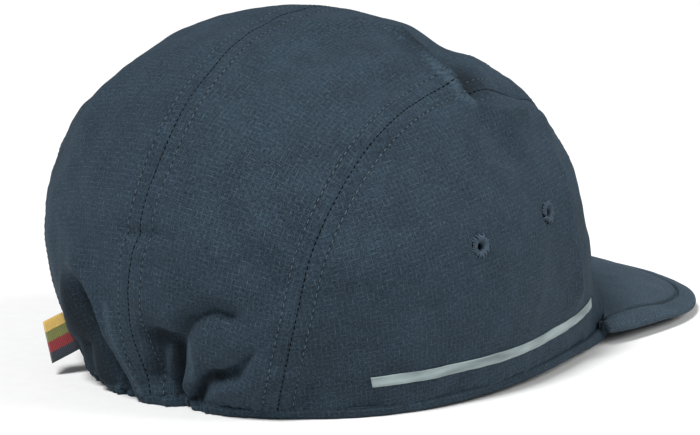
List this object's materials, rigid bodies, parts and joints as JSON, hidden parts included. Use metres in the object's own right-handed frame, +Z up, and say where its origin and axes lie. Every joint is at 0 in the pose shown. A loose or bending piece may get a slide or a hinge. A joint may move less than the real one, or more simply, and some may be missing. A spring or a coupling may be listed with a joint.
{
  "type": "cycling cap",
  "caption": "Soft cloth cap with a short stiff brim, a gathered back hem, sewn eyelets, reflective strips and a striped ribbon loop.",
  "frame": {"origin": "centre of the bounding box in plan, on the surface that the cap rests on", "axes": "+Z up, the brim points to -Y, the wearer's right is -X"},
  "size_m": [0.1788, 0.271, 0.1283],
  "materials": {
    "shell_cloth": "dark slate ripstop with a fine pale grid",
    "hem_cloth": "the same cloth turned and stitched",
    "brim_cloth": "the same cloth over a stiff core, with a stitched groove",
    "reflective_tape": "silver-grey reflective tape with a fine grain",
    "thread": "embroidered slate thread",
    "ribbon": "woven ribbon in mustard, olive, red and navy bands"
  },
  "bodies": {
    "root": {"front_panel": "shell_cloth", "side_panel_right": "shell_cloth", "side_panel_left": "shell_cloth", "top_panel_right": "shell_cloth", "top_panel_left": "shell_cloth", "hem_band": "hem_cloth", "brim": "brim_cloth", "reflective_strip_right": "reflective_tape", "reflective_strip_left": "reflective_tape", "eyelet_right_front": "thread", "eyelet_right_rear": "thread", "eyelet_left_front": "thread", "eyelet_left_rear": "thread", "tag_loop": "ribbon"}
  },
  "joints": []
}
